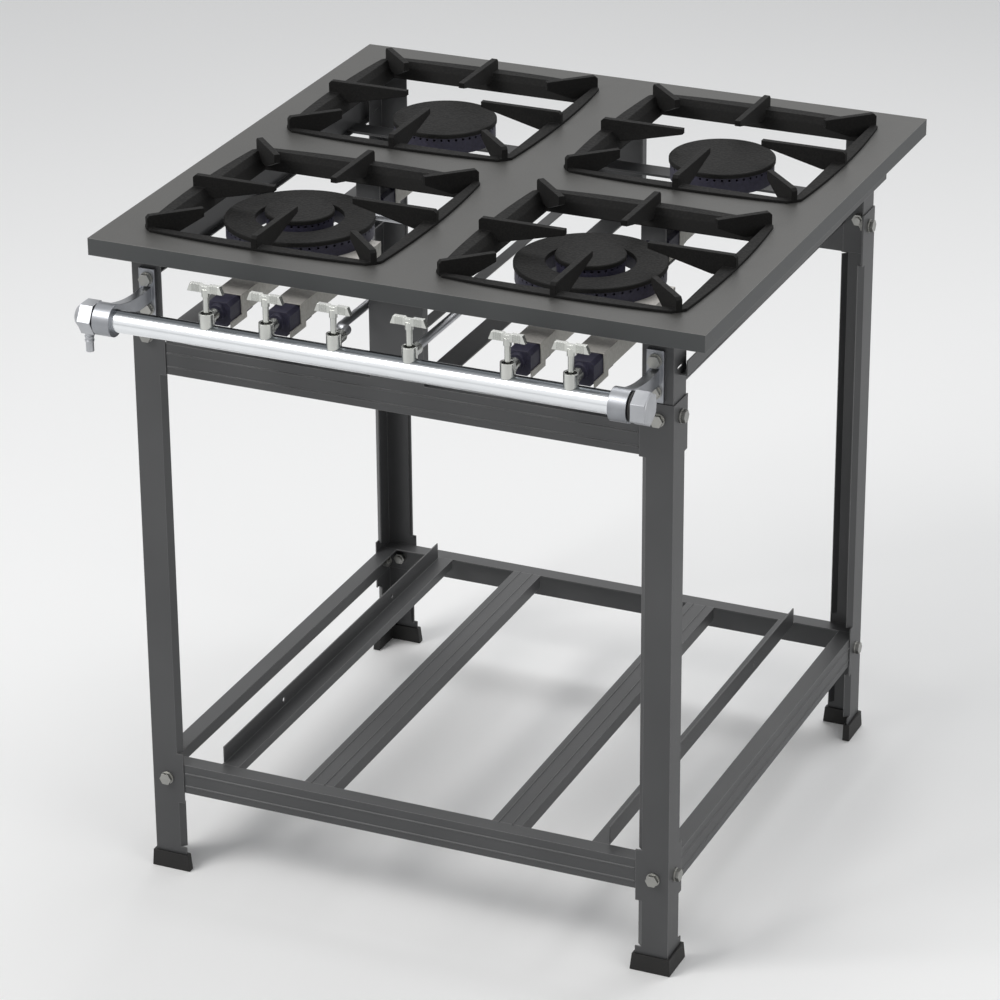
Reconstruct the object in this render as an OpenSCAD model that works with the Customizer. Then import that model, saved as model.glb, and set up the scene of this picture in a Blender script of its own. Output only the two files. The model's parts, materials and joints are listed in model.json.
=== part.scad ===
// Free-standing four-burner gas stove: open angle frame, sheet top, cast grates, front gas rail.
// Origin: centre of the footprint on the floor. +X runs right along the front, +Y runs back, +Z up.

/* [Table top] */
// Width of the table top
top_w = 730; // [700:5:900]
// Depth of the table top
top_d = 730; // [700:5:900]
// Height of the cooking surface above the floor
top_z = 804; // [760:1:900]
// Height of the folded skirt round the table top
skirt_h = 20; // [12:1:30]
// Thickness of the table top sheet
sheet_t = 1.5; // [1:0.1:2.5]

/* [Leg frame] */
// Distance from the side edges of the top in to the leg faces
frame_side = 39.5; // [32:0.5:46]
// Sideways offset of the leg frame under the table top
frame_x = -8.8; // [-12:0.1:0]
// Distance from the front edge of the top back to the leg faces
frame_front = 37.6; // [30:0.1:45]
// Distance from the rear edge of the top to the rear leg faces
frame_back = 37.4; // [30:0.1:45]
// Thickness of every angle in the frame
angle_t = 1.5; // [1.2:0.1:3]
// Width of a leg face up to the bend of its lip
leg_w = 32; // [29:0.5:36]
// Width of a leg face where it is left flat for a joint
leg_flat_w = 40; // [38:0.5:44]
// Length of a leg's lips, bent in by half a right angle
leg_lip = 8.8; // [6:0.1:11]
// Depth below the cooking surface of the bolted seam where the legs end
leg_top_drop = 103.5; // [95:0.5:110]

/* [Rails] */
// Height of a rail's face
rail_h = 37; // [30:0.5:45]
// Width of a rail's top flange
rail_flange = 20; // [14:0.5:26]
// Height of the shelf rails' top flange above the floor
shelf_z = 140; // [130:1:170]
// Drop from the leg seam to the upper rails' top flange
upper_rail_drop = 26; // [24:0.5:34]

/* [Shelf slats] */
// Width of a broad slat
slat_w = 37; // [30:0.5:45]
// Width of a narrow edge slat
edge_slat_w = 21; // [16:0.5:26]
// Height of an edge slat's upright flange
edge_slat_up = 21; // [14:0.5:26]
// Distance from a side rail's face to the edge slat
edge_slat_in = 80.5; // [60:0.5:95]
// Distance from a side rail's face to the broad slat
slat_in = 188; // [165:0.5:200]

/* [Feet] */
// Height of a foot cap
foot_h = 20.4; // [16:0.1:30]
// Length of a foot cap's sides at its base
foot_w = 48.5; // [47:0.1:56]

/* [Grates] */
// Width of a grate over its corners, as a share of the table top
grate_w_share = 0.3938; // [0.38:0.0001:0.4]
// Spacing of the grates from centre to centre, as a share of the table top
grate_pitch_share = 0.4863; // [0.47:0.0001:0.5]
// Outward bow in the middle of a grate's sides
grate_bow = 8; // [4:0.5:10]
// Height of the pan surface above the table top
finger_h = 17; // [14:0.5:24]
// Thickness of the grate's fingers
finger_t = 7; // [5:0.5:9]

/* [Burners] */
// Diameter of the front burners' ring, as a share of the grate
ring_share = 0.5948; // [0.56:0.0001:0.62]
// Diameter of the hole in that ring, as a share of the grate
ring_hole_share = 0.3513; // [0.34:0.0001:0.37]
// Diameter of the front burners' inner cap, as a share of the grate
inner_cap_share = 0.2748; // [0.25:0.0001:0.29]
// Diameter of the rear burners' cap, as a share of the grate
rear_cap_share = 0.4348; // [0.38:0.0001:0.48]
// Sideways offset of the front burners to the left, as a share of the grate
front_burner_share = 0.0661; // [0:0.0001:0.07]
// Depth of the ring's top below the cooking surface
ring_drop = 15; // [12:0.5:16]
// Depth of the inner cap's top below the cooking surface
inner_cap_drop = 6.5; // [5:0.5:9]
// Depth of the rear caps' top below the cooking surface
rear_cap_drop = 10.5; // [8:0.5:13]
// Thickness of every burner cap
cap_t = 5; // [4:0.5:7]

/* [Gas line] */
// Diameter of the gas rail
rail_d = 25.4; // [22:0.1:30]
// Distance of the gas rail in front of the table top
rail_out = 57; // [54:0.5:62]
// Depth of the gas rail's axis below the cooking surface
rail_drop = 67; // [66:0.5:70]
// Diameter of the bracket collars on the gas rail
collar_d = 37; // [34:0.5:40]
// Size of the end fittings over their flats
hex_af = 34; // [32:0.5:38]
// Width of a valve handle
handle_w = 42.5; // [36:0.5:48]
// Diameter of the hose tail
hose_tail_d = 9; // [8:0.1:10]

/* [Hidden] */

$fn = 64;
// Cutting overrun, and the gap left between loose parts
over = 1;
gap = 0.3;
grate_w = grate_w_share * min(top_w, top_d);
// Radial clearance of a running fit
run_fit = 0.05;

// Where the part's middle lies, measured back from the front edge of the top
hex_r = hex_af / 2 / cos(30);
front_reach = rail_out + hex_r;
y_mid = (top_d - front_reach) / 2;

// Leg frame
frame_w = top_w - 2 * frame_side;
frame_d = top_d - frame_front - frame_back;
leg_top_z = top_z - leg_top_drop;
frame_left = frame_x - frame_w / 2;
frame_right = frame_x + frame_w / 2;
frame_rear = frame_front + frame_d;
post_in = 3.75;
post_w = leg_flat_w - post_in;
under_top = top_z - sheet_t;
lower_flat_over = 14;
upper_rail_top = leg_top_z - upper_rail_drop;
shelf_rail_low = shelf_z - rail_h;
post_low = upper_rail_top - rail_h;
mid_post_w = 65;
mid_post_lip = 12;
foot_floor = 3;
leg_end_flat = 9;
lip_turn = 45;
slot_in = 12;
slot_l = 15;
slot_h = 3;
slot_drop = 66.5;
slot_z = top_z - slot_drop;

// Bolts: hexagon head, washer, shank and nut
bolt_r = 4;
bolt_hole_r = 4.2;
bolt_head_af = 13;
bolt_head_r = bolt_head_af / 2 / cos(30);
bolt_head_h = 5;
washer_r = 8;
washer_t = 1.6;
nut_h = 6.5;
bolt_end = 2;
upper_bolt_drop = 18.5;
lower_bolt_drop = 20;
upper_bolt_z = leg_top_z - upper_bolt_drop;
lower_bolt_z = shelf_z - lower_bolt_drop;
front_bolt_in = 18.5;
side_bolt_in = 20.2;

// Ribs pressed into the rails and broad slats
rib_low = 9;
rib_high = 25.5;
rib_r = 1.1;
rib_end_gap = 1.5;

// Grates and the openings that they sit in
rim_t = 3;
wall_out = 7.2;
wall_t = 5;
wall_drop = 16.5;
wall_draft = 7.6;
flare_drop = 4;
flare_in = 6;
opening_gap = 0.8;
corner_cut = 7;
grate_half = grate_w / 2;
rim_mid = grate_half + grate_bow;
bow_r = (grate_half * grate_half + grate_bow * grate_bow) / (2 * grate_bow);
wall_half = grate_half - wall_out;
wall_low = wall_half - wall_draft;
opening_half = wall_half + opening_gap;
tip_share = 0.341;
corner_tip_share = 0.911;
corner_end_share = 1.37;
tip_t = 6.5;
corner_tip_t = 10;
finger_chamfer = 3;
finger_web = 8;

// Burner bowls
bowl_floor = 4;
bowl_wall = 4;
cap_over = 1.5;
cover_drop = 36;
cover_top = top_z - cover_drop;
spigot_h = 3;
spigot_t = 2;
port_r = 1.5;
port_drop = 3;
arm_count = 3;
arm_w = 8;
arm_h = 8;

// Venturi blocks, pipes and the folded covers that carry the burners
cover_w = 32;
cover_t = 1.2;
cover_h = 22.7;
cover_low = cover_top - cover_h;
cover_front = -5;
cover_past = 12;
runner_h = 7.5;
runner_out = 26;
runner_in = 12;
strip_low = cover_low - runner_h;
tab_l = 22;
block_w = cover_w - 2 * cover_t - 2 * gap;
block_top = cover_top - cover_t - gap;
block_low = strip_low + cover_t;
block_front = -30;
block_len = 54;
block_chamfer = 4;
rear_block_in = 9;
rear_block_show = 31;
neck_r = 9;
neck_len = 6;
neck_bore_r = 5;
pipe_r = 10.5;
mix_r = 7;
joint_swell = 0.25;
riser_r = 8;
riser_gap = 0.5;
riser_wall = 2;
inner_valve_share = 0.0243;
outer_valve_share = 0.2748;
outer_riser_share = 0.2522;
inner_valve_dx = inner_valve_share * grate_w;
outer_valve_dx = outer_valve_share * grate_w;
outer_riser_dx = outer_riser_share * grate_w;

// Hanger between the front and rear burners, and the bar behind the rear ones
hanger_w = 30;
hanger_t = 2;
hanger_in = 39;
hanger_y = top_d / 2 - hanger_in;
hanger_foot_w = 34;
strap_side = 1;
window_w = 19;
window_h = 19;
bar_w = 28;
bar_t = 3;
bar_behind = 64.5;
tray_in = 20.3;
tray_mid = 17.4;
tray_wide_w = 29.5;
tray_slim_w = 14.5;
tray_w = 227.5;
tray_end_in = angle_t + mid_post_lip + gap;

// Side panels
panel_out = 8.8;
panel_drop = 74.5;
panel_low = top_z - panel_drop;
panel_front_h = 17;
panel_notch = 66;
panel_front = 57;
panel_back_in = 20;

// Gas rail, brackets and fittings
rail_y = -rail_out;
rail_z = top_z - rail_drop;
rail_wall = 2;
collar_l = 20.6;
bracket_in_left = 22.3;
bracket_in_right = 21.1;
collar_left = frame_left + bracket_in_left;
collar_right = frame_right - bracket_in_right;
bracket_w = 19.6;
bracket_h = 60;
bracket_t = 5;
bracket_drop = 100.5;
bracket_low = top_z - bracket_drop;
bracket_bolt_low = 12;
bracket_bolt_high = 48;
arm_t = 11;
arm_clear = 9;
arm_root_share = 0.333;
arm_arc_share = 0.9;
arm_waist = 10;
arm_sag = 6;
seal_t = 2;
end_seal_t = 4.5;
seal_r = 14.5;
end_hex_l = 16;
end_cone_l = 1;
end_cone_r = 15.5;
cap_left_l = 16;
cap_grip = 6;
end_wall = 4;
cap_dome_l = 7;
cap_dome_r = 11;
cap_bore_gap = 0.1;
tail_len = 24;
tail_tip = 9;
barb_h = 4.5;
barb_count = 3;
barb_r = 1.1;
barb_root = 0.3;
chamber_r = 7;
chamber_in = 1;
tail_bore_r = 2.8;

// Valves
third_valve_share = -0.1287;
fourth_valve_share = 0.1809;
body_r = 8.5;
body_drop = 40;
body_top = top_z - body_drop;
cup_r = 6.4;
cup_depth = 6.5;
stem_r = 3;
stem_top_r = 3.4;
stem_seat = 5;
outlet_drop = 48.4;
outlet_z = top_z - outlet_drop;
outlet_r = 7.5;
outlet_len = 17;
jet_r = neck_bore_r - run_fit;
feed_r = 4.8;
feed_bend_r = 14;
feed_cross_in = 26;
feed_jog = 11.4;
feed_lane = 58;
feed_turn_y = 130;
rear_jet_in = 2;
handle_drop = 7;
handle_top = top_z - handle_drop;
handle_h = 9;
handle_t = 6;
handle_dip = 1.6;
handle_hub_r = 4.5;
handle_hub_h = 5;
wing_foot = 3.6;
wing_top_in = 5;
wing_groove_r = 0.7;
wing_groove_step = 2.4;
wing_groove_count = 4;
feed_cross_y = hanger_y - feed_cross_in;
rear_jet_y = hanger_y - rear_jet_in;

// Places of the burners and valves
left_x = -grate_pitch_share * top_w / 2;
right_x = -left_x;
front_y = top_d / 2 - grate_pitch_share * top_d / 2;
rear_y = top_d - front_y;
burner_left_x = left_x - front_burner_share * grate_w;
burner_right_x = right_x - front_burner_share * grate_w;
cover_rear = front_y + cover_past;
bar_y0 = rear_y + bar_behind;
rear_block_front = hanger_y + hanger_t + rear_block_in;
rear_cover_front = rear_block_front + rear_block_show;
rear_cover_rear = bar_y0 + bar_w;
valve_x = [
  burner_left_x + inner_valve_dx, burner_left_x + outer_valve_dx,
  third_valve_share * grate_w, fourth_valve_share * grate_w,
  burner_right_x + inner_valve_dx, burner_right_x + outer_valve_dx
];

paint = [0.26, 0.26, 0.27];
paint_top = [0.36, 0.36, 0.35];
iron = [0.09, 0.09, 0.09];
enamel = [0.13, 0.12, 0.19];
zinc = [0.66, 0.64, 0.60];
alloy = [0.72, 0.74, 0.76];
nickel = [0.80, 0.80, 0.78];
black = [0.05, 0.05, 0.05];

// Moves a shape from the front edge of the top to the part's own origin
module home() {
  translate([0, -y_mid, 0]) children();
}

// A box between two corners
module block(low, high) {
  translate(low) cube(high - low);
}

// A round bar along X or Y, from a start point
module bar_x(at, r, l) {
  translate(at) rotate([0, 90, 0]) cylinder(r = r, h = l);
}

module bar_y(at, r, l) {
  translate(at) rotate([-90, 0, 0]) cylinder(r = r, h = l);
}

// Puts a corner shape, drawn with its faces along +X and +Y, at one corner of the leg frame
module at_corner(right, rear) {
  x = right ? frame_right : frame_left;
  y = rear ? frame_rear : frame_front;
  translate([x, y, 0]) mirror([right ? 1 : 0, 0, 0]) mirror([0, rear ? 1 : 0, 0]) children();
}

// Table top
module table_top() {
  color(paint_top) home() difference() {
    block([-top_w / 2, 0, top_z - skirt_h], [top_w / 2, top_d, top_z]);
    block([-top_w / 2 + sheet_t, sheet_t, top_z - skirt_h - over],
      [top_w / 2 - sheet_t, top_d - sheet_t, under_top]);
    for (x = [left_x, right_x]) for (y = [front_y, rear_y])
      block([x - opening_half, y - opening_half, under_top - over],
        [x + opening_half, y + opening_half, top_z + over]);
  }
}

// Panel under each side of the top; its bottom lip carries the cross bars
module side_panel(right) {
  depth = top_d - panel_front - panel_back_in;
  lip_z = panel_low + angle_t;
  x = right ? frame_right - angle_t + panel_out : frame_left + angle_t - panel_out;
  color(paint) home() translate([x, panel_front, 0]) mirror([right ? 1 : 0, 0, 0]) difference() {
    union() {
      block([0, 0, panel_low], [angle_t, depth, under_top]);
      block([0, 0, panel_low], [panel_out, depth, lip_z]);
    }
    block([-over, -over, panel_low + panel_front_h], [panel_out + over, panel_notch, under_top + over]);
  }
}

// Angle posts welded under the top, with holes for the leg bolts
module post(right, rear) {
  color(paint) home() at_corner(right, rear) difference() {
    block([angle_t, angle_t, post_low], [angle_t + post_w, angle_t + post_w, under_top]);
    block([2 * angle_t, 2 * angle_t, post_low - over],
      [post_w + angle_t + over, post_w + angle_t + over, under_top + over]);
    leg_bolt_holes(upper_bolt_z);
    if (!rear) bracket_bolt_holes(right ? bracket_in_right : bracket_in_left);
    block([angle_t - over, slot_in, slot_z], [2 * angle_t + over, slot_in + slot_l, slot_z + slot_h]);
  }
}

module leg_bolt_holes(z) {
  bar_y([front_bolt_in, -over, z], bolt_hole_r, 2 * angle_t + 2 * over);
  bar_x([-over, side_bolt_in, z], bolt_hole_r, 2 * angle_t + 2 * over);
}

module bracket_bolt_holes(in) {
  for (up = [bracket_bolt_low, bracket_bolt_high])
    bar_y([in, -over, bracket_low + up], bolt_hole_r, 2 * angle_t + 2 * over);
}

// A leg: lipped angle, left flat where the rails and posts are bolted on
module leg(right, rear) {
  low_flat = shelf_rail_low - lower_flat_over;
  high_flat = shelf_z + lower_flat_over;
  top_flat = post_low - angle_t;
  color(paint) home() at_corner(right, rear) difference() {
    union() {
      leg_flat(foot_floor, foot_h + leg_end_flat, 0);
      leg_lipped(foot_h + leg_end_flat, low_flat);
      leg_flat(low_flat, high_flat, 0);
      leg_lipped(high_flat, top_flat);
      leg_flat(top_flat, leg_top_z, 0);
    }
    leg_bolt_holes(upper_bolt_z);
    leg_bolt_holes(lower_bolt_z);
  }
}

// Flat angle; a clearance widens it on every side to cut its own slot
module leg_flat(z0, z1, clear) {
  block([-clear, -clear, z0], [leg_flat_w + clear, angle_t + clear, z1]);
  block([-clear, -clear, z0], [angle_t + clear, leg_flat_w + clear, z1]);
}

module leg_lipped(z0, z1) {
  t = angle_t;
  out = leg_w + leg_lip * cos(lip_turn);
  in = leg_lip * sin(lip_turn);
  back = t * sin(lip_turn);
  up = t * cos(lip_turn);
  bend = leg_w - t * tan(lip_turn / 2);
  translate([0, 0, z0]) linear_extrude(z1 - z0) polygon([
    [0, 0], [leg_w, 0], [out, in], [out - back, in + up], [bend, t], [t, t],
    [t, bend], [in + up, out - back], [in, out], [0, leg_w]
  ]);
}

// Plastic cap on the end of a leg: two flared arms that follow the angle, open in the inner corner
foot_proud = 4;
foot_draft = 1;
foot_slot = 0.4;
foot_wall = 3;
foot_in = angle_t + foot_slot + foot_wall;

module foot(right, rear) {
  color(black) home() at_corner(right, rear) difference() {
    union() {
      foot_arm();
      mirror([1, -1, 0]) foot_arm();
    }
    leg_flat(foot_floor, foot_h + over, foot_slot);
  }
}

module foot_arm() {
  low = -foot_proud;
  high = foot_draft - foot_proud;
  end = foot_w - foot_proud;
  hull() {
    block([low, low, 0], [end, foot_in, angle_t]);
    block([high, high, foot_h - angle_t], [end - 2 * foot_draft, foot_in, foot_h]);
  }
}

// Rails: a face with two ribs and a top flange, drawn along +X with the face at y = 0
module rail(len, flange_from, flange_to, rib_from, rib_to, top, holes) {
  low = top - rail_h;
  difference() {
    union() {
      block([0, 0, low], [len, angle_t, top]);
      block([flange_from, 0, top - angle_t], [flange_to, rail_flange, top]);
      for (up = [rib_low, rib_high]) bar_x([rib_from, 0, low + up], rib_r, rib_to - rib_from);
    }
    for (x = holes) bar_y([x, -over - rib_r, lower_bolt_z], bolt_hole_r, angle_t + 2 * over + rib_r);
  }
}

upper_rail_in = angle_t + post_w;
upper_rail_l = frame_w - 2 * upper_rail_in;
upper_rib_in = leg_flat_w - upper_rail_in + rib_end_gap;

// An upper rail with the lipped post that joins its middle to the top
module upper_rail(rear) {
  y = rear ? frame_rear - angle_t : frame_front + angle_t;
  low = upper_rail_top - angle_t;
  color(paint) home() translate([frame_left + upper_rail_in, y, 0]) mirror([0, rear ? 1 : 0, 0]) {
    rail(upper_rail_l, 0, upper_rail_l, upper_rib_in, upper_rail_l - upper_rib_in, upper_rail_top, []);
    translate([(upper_rail_l - mid_post_w) / 2, 0, 0]) {
      block([0, 0, low], [mid_post_w, angle_t, under_top]);
      for (x = [0, mid_post_w - angle_t]) block([x, 0, low], [x + angle_t, mid_post_lip, under_top]);
    }
  }
}

shelf_long = frame_w - 4 * angle_t;
shelf_rib_in = leg_flat_w - 2 * angle_t + rib_end_gap;
front_hole_in = front_bolt_in - 2 * angle_t;

module shelf_rail_long(rear) {
  y = rear ? frame_rear - angle_t : frame_front + angle_t;
  color(paint) home() translate([frame_left + 2 * angle_t, y, 0]) mirror([0, rear ? 1 : 0, 0])
    rail(shelf_long, 0, shelf_long, shelf_rib_in, shelf_long - shelf_rib_in, shelf_z,
      [front_hole_in, shelf_long - front_hole_in]);
}

shelf_side = frame_d - 4 * angle_t;
side_rail_flange_in = rail_flange - angle_t;
side_hole_in = side_bolt_in - 2 * angle_t;

module shelf_rail_side(right) {
  x = right ? frame_right - angle_t : frame_left + angle_t;
  color(paint) home() translate([x, frame_front + 2 * angle_t, 0]) mirror([right ? 0 : 1, 0, 0])
    rotate([0, 0, 90])
      rail(shelf_side, side_rail_flange_in, shelf_side - side_rail_flange_in, shelf_rib_in,
        shelf_side - shelf_rib_in, shelf_z, [side_hole_in, shelf_side - side_hole_in]);
}

// Shelf slats, lying front to back between the rails' top flanges and level with them
slat_from = frame_front + angle_t + rail_flange;
slat_to = frame_rear - angle_t - rail_flange;
slat_clear = 2;
slat_cut = rail_flange + angle_t + slat_clear;
slat_down = 16.5;
edge_slat_down = 12;
edge_slat_cut = 3.5;
slat_hole_r = 3;
slat_hole_up = 8.6;
slat_hole_share = [0.262, 0.765];

module edge_slat(right) {
  x = right ? frame_right - edge_slat_in : frame_left + edge_slat_in;
  z = shelf_z;
  len = slat_to - slat_from;
  drop_from = frame_front + slat_cut;
  drop_to = frame_rear - slat_cut;
  color(paint) home() translate([x, 0, 0]) mirror([right ? 1 : 0, 0, 0]) difference() {
    union() {
      block([0, slat_from, z - angle_t], [edge_slat_w, slat_to, z]);
      block([0, slat_from + edge_slat_cut, z - angle_t],
        [angle_t, slat_to - edge_slat_cut, z + edge_slat_up]);
      block([edge_slat_w - angle_t, drop_from, z - edge_slat_down], [edge_slat_w, drop_to, z]);
    }
    for (s = slat_hole_share)
      bar_x([-over, slat_from + s * len, z + slat_hole_up], slat_hole_r, angle_t + 2 * over);
  }
}

module broad_slat(x) {
  z = shelf_z;
  drop_from = frame_front + slat_cut;
  drop_to = frame_rear - slat_cut;
  color(paint) home() translate([x, 0, 0]) {
    block([0, slat_from, z - angle_t], [slat_w, slat_to, z]);
    block([slat_w - angle_t, drop_from, z - slat_down], [slat_w, drop_to, z]);
    for (in = [rib_low, rib_high]) bar_y([in, slat_from, z], rib_r, slat_to - slat_from);
  }
}

// Hanger under the middle strip of the top: window plate, foot and the strap under two front covers
module hanger(gx, bx) {
  x0 = bx + inner_valve_dx - cover_w / 2 - strap_side;
  x1 = bx + outer_valve_dx + cover_w / 2 + strap_side;
  low = strip_low - hanger_t;
  color(paint) home() {
    difference() {
      block([gx - hanger_w / 2, hanger_y, low], [gx + hanger_w / 2, hanger_y + hanger_t, under_top]);
      block([gx - window_w / 2, hanger_y - over, outlet_z - window_h / 2],
        [gx + window_w / 2, hanger_y + hanger_t + over, outlet_z + window_h / 2]);
    }
    block([gx - hanger_foot_w / 2, cover_rear - tab_l, low],
      [gx + hanger_foot_w / 2, rear_cover_front + runner_in, strip_low]);
    block([x0, cover_rear - tab_l, low], [x1, cover_rear, strip_low]);
  }
}

// Flat bar across the side panels' lips, and the strips of two tray slides on the upper rails
module under_bars() {
  z = panel_low + angle_t;
  x0 = frame_left + angle_t - panel_out + angle_t;
  x1 = frame_right - angle_t + panel_out - angle_t;
  color(paint) home() {
    block([x0, bar_y0, z], [x1, bar_y0 + bar_w, z + bar_t]);
    for (x = [frame_left + tray_in, frame_x + tray_mid]) {
      tray_strip(x, tray_wide_w);
      tray_strip(x + tray_wide_w + tray_w, tray_slim_w);
    }
  }
}

module tray_strip(x, w) {
  block([x, frame_front + tray_end_in, upper_rail_top],
    [x + w, frame_rear - tray_end_in, upper_rail_top + angle_t]);
}

// Folded cover: an upside-down channel with a hole for the riser, front strips and rear tabs
module cover(x, y0, y1, strip_from, tab_low, riser_x, riser_y) {
  half = cover_w / 2;
  difference() {
    block([x - half, y0, cover_low], [x + half, y1, cover_top]);
    block([x - half + cover_t, y0 - over, cover_low - over],
      [x + half - cover_t, y1 + over, cover_top - cover_t]);
    translate([riser_x, riser_y, cover_top - cover_t - over])
      cylinder(r = riser_r + riser_gap, h = cover_t + 2 * over);
  }
  for (left = [x - half, x + half - cover_t]) {
    block([left, strip_from, strip_low], [left + cover_t, y0 + runner_in, cover_low]);
    block([left, y1 - tab_l, tab_low], [left + cover_t, y1, cover_low]);
  }
}

module cover_front(bx) {
  inner = bx + inner_valve_dx;
  outer = bx + outer_valve_dx;
  strip_from = cover_front - runner_out;
  color(zinc) home() {
    cover(inner, cover_front, cover_rear, strip_from, strip_low, inner, front_y);
    cover(outer, cover_front, cover_rear, strip_from, strip_low, bx + outer_riser_dx, front_y);
  }
}

module cover_rear(bx) {
  bar_top = panel_low + angle_t + bar_t;
  color(zinc) home()
    cover(bx, rear_cover_front, rear_cover_rear, rear_block_front - over, bar_top, bx, rear_y);
}

// Venturi block with its neck, mixing pipe and riser into a bowl
module venturi_solid(x, y0, riser_x, riser_y) {
  half = block_w / 2;
  c = block_chamfer;
  pipe_z = block_top - pipe_r;
  translate([x, y0 + block_len, 0]) rotate([90, 0, 0]) linear_extrude(block_len) polygon([
    [-half, block_low + c], [-half + c, block_low], [half - c, block_low], [half, block_low + c],
    [half, block_top - c], [half - c, block_top], [-half + c, block_top], [-half, block_top - c]
  ]);
  bar_y([x, y0 - neck_len, outlet_z], neck_r, neck_len + over);
  bar_y([x, y0, pipe_z], pipe_r, riser_y - y0);
  translate([x, riser_y, pipe_z]) sphere(r = pipe_r + joint_swell);
  translate([riser_x, riser_y, pipe_z]) cylinder(r = riser_r, h = cover_top + bowl_floor - pipe_z);
}

module venturi_bore(x, y0, riser_x, riser_y) {
  pipe_z = block_top - pipe_r;
  bar_y([x, y0 - neck_len - over, outlet_z], neck_bore_r, neck_len + 2 * over);
  bar_y([x, y0 + bowl_floor, pipe_z], mix_r, riser_y - y0 - bowl_floor);
  bar_y([x, y0, outlet_z], neck_bore_r, bowl_floor + over);
  translate([riser_x, riser_y, pipe_z - over])
    cylinder(r = riser_r - riser_wall, h = cover_top + bowl_floor - pipe_z + 2 * over);
}

// Row of flame ports round a bowl
module ports(r, z, count) {
  for (i = [0:count - 1]) rotate([0, 0, (i + 0.5) * 360 / count])
    bar_x([r - bowl_wall - over, 0, z], port_r, bowl_wall + 2 * over);
}

ring_top = top_z - ring_drop;
ring_under = ring_top - cap_t;
inner_under = top_z - inner_cap_drop - cap_t;
rear_under = top_z - rear_cap_drop - cap_t;
ring_r = ring_share * grate_w / 2;
ring_hole_r = ring_hole_share * grate_w / 2;
inner_r = inner_cap_share * grate_w / 2;
rear_r = rear_cap_share * grate_w / 2;
ring_ports = 54;
inner_ports = 30;
rear_ports = 44;

// A bowl between two radii; no inner wall where the inner radius is zero
module bowl(r_out, r_in, top) {
  floor_z = cover_top + bowl_floor;
  difference() {
    translate([0, 0, cover_top]) cylinder(r = r_out, h = top - cover_top);
    translate([0, 0, floor_z]) cylinder(r = r_out - bowl_wall, h = top);
    if (r_in > 0) translate([0, 0, cover_top - over]) cylinder(r = r_in, h = top);
  }
  if (r_in > 0) difference() {
    translate([0, 0, cover_top]) cylinder(r = r_in + bowl_wall, h = top - cover_top);
    translate([0, 0, cover_top - over]) cylinder(r = r_in, h = top);
  }
}

module burner_front(bx) {
  y0 = block_front;
  color(enamel) home() difference() {
    union() {
      translate([bx, front_y, 0]) {
        bowl(ring_r - cap_over, ring_hole_r + cap_over, ring_under);
        bowl(inner_r - cap_over, 0, inner_under);
        for (i = [0:arm_count - 1]) rotate([0, 0, 90 + i * 360 / arm_count])
          block([inner_r - bowl_wall, -arm_w / 2, cover_top],
            [ring_hole_r + bowl_wall, arm_w / 2, cover_top + arm_h]);
      }
      venturi_solid(bx + inner_valve_dx, y0, bx + inner_valve_dx, front_y);
      venturi_solid(bx + outer_valve_dx, y0, bx + outer_riser_dx, front_y);
    }
    translate([bx, front_y, 0]) {
      ports(ring_r - cap_over, ring_under - port_drop, ring_ports);
      ports(inner_r - cap_over, inner_under - port_drop, inner_ports);
    }
    venturi_bore(bx + inner_valve_dx, y0, bx + inner_valve_dx, front_y);
    venturi_bore(bx + outer_valve_dx, y0, bx + outer_riser_dx, front_y);
  }
}

module burner_rear(bx) {
  color(enamel) home() difference() {
    union() {
      translate([bx, rear_y, 0]) bowl(rear_r - cap_over, 0, rear_under);
      venturi_solid(bx, rear_block_front, bx, rear_y);
    }
    translate([bx, rear_y, 0]) ports(rear_r - cap_over, rear_under - port_drop, rear_ports);
    venturi_bore(bx, rear_block_front, bx, rear_y);
  }
}

// Loose caps, each with a spigot that drops inside its bowl's wall
cap_bevel = 1;

module cap_disc(r) {
  cylinder(r = r, h = cap_t - cap_bevel);
  translate([0, 0, cap_t - cap_bevel]) cylinder(r1 = r, r2 = r - cap_bevel, h = cap_bevel);
}

module spigot(r_out) {
  translate([0, 0, -spigot_h]) difference() {
    cylinder(r = r_out, h = spigot_h + over / 2);
    translate([0, 0, -over]) cylinder(r = r_out - spigot_t, h = spigot_h + 3 * over);
  }
}

module ring_cap(bx) {
  color(iron) home() translate([bx, front_y, ring_under]) {
    difference() {
      cap_disc(ring_r);
      translate([0, 0, -over]) cylinder(r = ring_hole_r, h = cap_t + 2 * over);
    }
    spigot(ring_r - cap_over - bowl_wall - gap);
  }
}

module round_cap(x, y, r, under) {
  color(iron) home() translate([x, y, under]) {
    cap_disc(r);
    spigot(r - cap_over - bowl_wall - gap);
  }
}

// Cast grate: bowed rim on the table top, wall down into the opening, eight fingers
module bowed_square(half) {
  reach = bow_r - (half + grate_bow);
  intersection() {
    translate([reach, 0]) circle(r = bow_r, $fn = 360);
    translate([-reach, 0]) circle(r = bow_r, $fn = 360);
    translate([0, reach]) circle(r = bow_r, $fn = 360);
    translate([0, -reach]) circle(r = bow_r, $fn = 360);
    circle(r = half * sqrt(2) - corner_cut, $fn = 180);
  }
}

module finger(end_r, tip, tip_depth, web_from, web_to, root) {
  c = finger_chamfer;
  translate([0, finger_t / 2, 0]) rotate([90, 0, 0]) linear_extrude(finger_t) polygon([
    [end_r, 0], [end_r, finger_h - c], [end_r - c, finger_h], [tip, finger_h],
    [tip, finger_h - tip_depth], [web_from, -finger_web], [web_to, -finger_web], [root, 0]
  ]);
}

// Square block with leaning sides, from pairs of half width and height, read upwards
module leaning_square(p) {
  left = [for (i = [len(p) - 1:-1:0]) [-p[i][0], p[i][1]]];
  intersection() {
    rotate([90, 0, 0]) linear_extrude(2 * grate_w, center = true) polygon(concat(p, left));
    rotate([90, 0, 90]) linear_extrude(2 * grate_w, center = true) polygon(concat(p, left));
  }
}

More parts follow.
